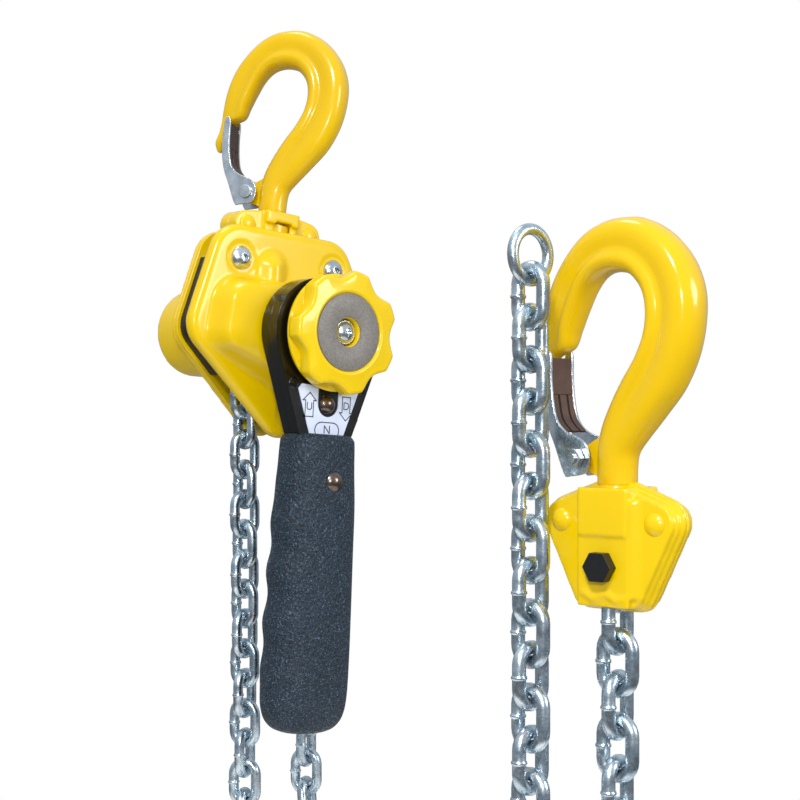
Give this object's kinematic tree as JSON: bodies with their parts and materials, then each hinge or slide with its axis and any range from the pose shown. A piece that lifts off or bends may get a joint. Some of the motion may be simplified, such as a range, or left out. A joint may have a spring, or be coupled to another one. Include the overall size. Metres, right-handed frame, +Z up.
{
  "type": "lever chain hoist",
  "caption": "Lever chain hoist with swivelling top and lower hooks, ratchet lever with selector, free-chain hand wheel, load brake, reduction gears and a link chain whose slack lies below it.",
  "frame": {"origin": "the point inside the top hook's bowl where the hoist hangs", "axes": "+Z up, X across the body, -Y to the front where the lever and the hand wheel are"},
  "size_m": [0.1731, 0.4358, 0.5589],
  "materials": {
    "yellow_paint": "glossy",
    "hook_paint": "glossy",
    "wheel_paint": "glossy",
    "black_paint": "glossy",
    "black_oxide": "satin",
    "guard_rubber": "matte",
    "grip_rubber": "leather-textured",
    "zinc_plate": "bright plated",
    "chain_zinc": "bright plated",
    "machined_steel": "machined",
    "brake_lining": "matte",
    "label_metal": "printed",
    "plate_metal": "speckled",
    "rivet_steel": "polished",
    "selector_steel": "satin"
  },
  "bodies": {
    "hoist": {"front_plate": "yellow_paint", "rear_plate": "yellow_paint", "brake_cover": "yellow_paint", "gear_case": "yellow_paint", "stay_spacers": "machined_steel", "body_bolts": "zinc_plate", "side_guards": "guard_rubber", "chain_guides": "machined_steel", "chain_stripper": "machined_steel", "sheave_bearings": "machined_steel", "yoke_pin": "machined_steel", "ratchet_disc": "machined_steel", "pawl_pins": "machined_steel", "pawl_springs": "zinc_plate", "chain_over_sheave": "chain_zinc", "load_chain_fall": "chain_zinc", "load_chain_slack": "chain_zinc", "load_chain_rise": "chain_zinc", "tail_chain_fall": "chain_zinc", "tail_chain_slack": "chain_zinc", "tail_chain_rise": "chain_zinc", "tail_ring": "chain_zinc", "lower_yoke_front": "yellow_paint", "lower_yoke_rear": "yellow_paint", "lower_yoke_rivets": "yellow_paint", "chain_bolt": "black_oxide"},
    "top_yoke": {"top_yoke_front": "yellow_paint", "top_yoke_rear": "yellow_paint", "top_yoke_rivets": "yellow_paint"},
    "top_hook": {"top_hook": "hook_paint", "top_latch_pin": "zinc_plate", "top_latch_spring": "zinc_plate"},
    "top_latch": {"top_latch": "zinc_plate"},
    "lever": {"lever_rear_shell": "black_paint", "lever_front_shell": "black_paint", "lever_screws": "black_paint", "lever_rivets": "rivet_steel", "label_plate": "label_metal", "grip": "grip_rubber"},
    "selector": {"selector_pawl": "selector_steel"},
    "drive": {"drive_shaft": "machined_steel", "brake_hub": "machined_steel", "friction_discs": "brake_lining", "change_gear": "machined_steel", "retaining_ring": "zinc_plate", "wheel_screw": "zinc_plate", "wheel_spring": "zinc_plate"},
    "wheel": {"hand_wheel": "wheel_paint", "wheel_plate": "plate_metal"},
    "sheave": {"load_sheave": "machined_steel", "load_gear": "machined_steel"},
    "left_idler": {"left_idler_gear": "machined_steel"},
    "right_idler": {"right_idler_gear": "machined_steel"},
    "upper_brake_pawl": {"upper_brake_pawl": "machined_steel"},
    "lower_brake_pawl": {"lower_brake_pawl": "machined_steel"},
    "lower_hook": {"lower_hook": "hook_paint", "lower_latch_bolt": "zinc_plate", "lower_latch_spring": "zinc_plate"},
    "lower_latch": {"lower_latch": "zinc_plate"}
  },
  "joints": [
    {"name": "yoke_swing", "type": "hinge", "parent": "hoist", "child": "top_yoke", "pos_m": [-0.01257, 0, -0.11029], "axis": [0, 1, 0], "range_deg": [-8, 8]},
    {"name": "top_hook_swivel", "type": "hinge", "parent": "top_yoke", "child": "top_hook", "pos_m": [0, 0, 0], "axis": [0.1132, 0, 0.9936], "continuous": true},
    {"name": "top_latch_hinge", "type": "hinge", "parent": "top_hook", "child": "top_latch", "pos_m": [-0.0171, 0.01315, -0.07756], "axis": [0.8426, 0.5299, -0.096], "range_deg": [0, 30], "stiffness_Nm_per_rad": 0.12, "springref_deg": -28.65},
    {"name": "lever_swing", "type": "hinge", "parent": "hoist", "child": "lever", "pos_m": [-0.00735, 0, -0.16478], "axis": [0, -1, 0], "range_deg": [-120, 120]},
    {"name": "selector_turn", "type": "hinge", "parent": "lever", "child": "selector", "pos_m": [-0.01028, -0.048, -0.20668], "axis": [0, -1, 0], "range_deg": [-14, 14]},
    {"name": "drive_turn", "type": "hinge", "parent": "hoist", "child": "drive", "pos_m": [-0.00735, 0, -0.16478], "axis": [0, -1, 0], "continuous": true},
    {"name": "wheel_pull", "type": "slide", "parent": "drive", "child": "wheel", "axis": [0, -1, 0], "range_m": [0, 0.003], "stiffness_N_per_m": 400, "springref_m": -0.01, "deforming": ["wheel_spring"]},
    {"name": "sheave_turn", "type": "hinge", "parent": "hoist", "child": "sheave", "pos_m": [-0.00735, 0, -0.16478], "axis": [0, -1, 0], "continuous": true},
    {"name": "left_idler_turn", "type": "hinge", "parent": "hoist", "child": "left_idler", "pos_m": [-0.03728, 0.03, -0.16269], "axis": [0, -1, 0], "continuous": true},
    {"name": "right_idler_turn", "type": "hinge", "parent": "hoist", "child": "right_idler", "pos_m": [0.02257, 0.03, -0.16687], "axis": [0, -1, 0], "continuous": true},
    {"name": "upper_brake_pawl_lift", "type": "hinge", "parent": "hoist", "child": "upper_brake_pawl", "pos_m": [-0.03322, -0.0225, -0.14862], "axis": [0, -1, 0], "range_deg": [0, 9], "stiffness_Nm_per_rad": 0.02, "springref_deg": -17.19},
    {"name": "lower_brake_pawl_lift", "type": "hinge", "parent": "hoist", "child": "lower_brake_pawl", "pos_m": [0.01851, -0.0225, -0.18094], "axis": [0, -1, 0], "range_deg": [0, 9], "stiffness_Nm_per_rad": 0.02, "springref_deg": -17.19},
    {"name": "lower_hook_swivel", "type": "hinge", "parent": "hoist", "child": "lower_hook", "pos_m": [-0.07651, -0.34411, -0.14979], "axis": [0, 0, 1], "range_deg": [-100, 3]},
    {"name": "lower_latch_hinge", "type": "hinge", "parent": "lower_hook", "child": "lower_latch", "pos_m": [-0.07812, -0.3287, -0.22879], "axis": [0.9945, 0.1045, 0], "range_deg": [0, 30], "stiffness_Nm_per_rad": 0.12, "springref_deg": -28.65}
  ],
  "couplings": [
    {"joint": "sheave_turn", "follows": "drive_turn", "ratio": 0.18367},
    {"joint": "left_idler_turn", "follows": "drive_turn", "ratio": -0.42857},
    {"joint": "right_idler_turn", "follows": "drive_turn", "ratio": -0.42857}
  ]
}
